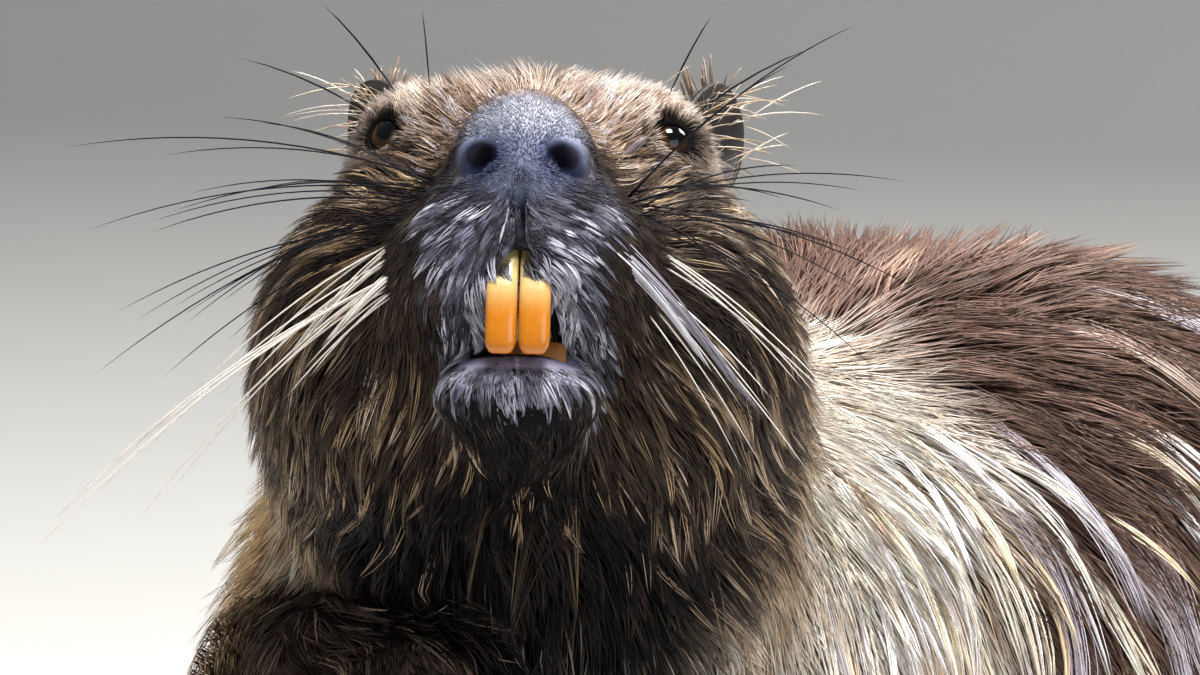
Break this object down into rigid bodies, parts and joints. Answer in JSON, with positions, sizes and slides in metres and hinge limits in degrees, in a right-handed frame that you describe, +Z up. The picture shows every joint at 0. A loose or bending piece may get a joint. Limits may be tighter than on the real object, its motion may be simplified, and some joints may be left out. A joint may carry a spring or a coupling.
{
  "type": "nutria (coypu)",
  "caption": "A life-size nutria crouched on its haunches with its head raised, orange incisors showing, one forepaw lifted and a long round tail along the floor.",
  "frame": {"origin": "on the floor, under the middle of the outer box of the whole animal with its tail", "axes": "+Z up; the trunk faces -Y, the tail lies towards +Y, and +X is the animal's left side"},
  "size_m": [0.2382, 0.757, 0.1909],
  "materials": {
    "fur": "satin",
    "bare_skin": "satin",
    "tail_skin": "satin",
    "eye": "gloss",
    "upper_enamel": "gloss",
    "lower_enamel": "gloss",
    "claw_horn": "satin"
  },
  "bodies": {
    "root": {"head": "fur", "eye_left": "eye", "ear_left": "bare_skin", "upper_incisor_left": "upper_enamel", "lower_incisor_left": "lower_enamel", "eye_right": "eye", "ear_right": "bare_skin", "upper_incisor_right": "upper_enamel", "lower_incisor_right": "lower_enamel", "neck": "fur", "trunk": "fur", "haunch_left": "fur", "upper_arm_left": "fur", "forearm_left": "fur", "forefoot_left": "bare_skin", "forefoot_left_claw_1": "claw_horn", "forefoot_left_claw_2": "claw_horn", "forefoot_left_claw_3": "claw_horn", "forefoot_left_claw_4": "claw_horn", "forefoot_left_claw_5": "claw_horn", "hindfoot_left": "bare_skin", "hindfoot_left_claw_1": "claw_horn", "hindfoot_left_claw_2": "claw_horn", "hindfoot_left_claw_3": "claw_horn", "hindfoot_left_claw_4": "claw_horn", "hindfoot_left_claw_5": "claw_horn", "haunch_right": "fur", "upper_arm_right": "fur", "forearm_right": "fur", "forefoot_right": "bare_skin", "forefoot_right_claw_1": "claw_horn", "forefoot_right_claw_2": "claw_horn", "forefoot_right_claw_3": "claw_horn", "forefoot_right_claw_4": "claw_horn", "forefoot_right_claw_5": "claw_horn", "hindfoot_right": "bare_skin", "hindfoot_right_claw_1": "claw_horn", "hindfoot_right_claw_2": "claw_horn", "hindfoot_right_claw_3": "claw_horn", "hindfoot_right_claw_4": "claw_horn", "hindfoot_right_claw_5": "claw_horn", "tail_1": "tail_skin", "tail_2": "tail_skin", "tail_3": "tail_skin"}
  },
  "joints": []
}
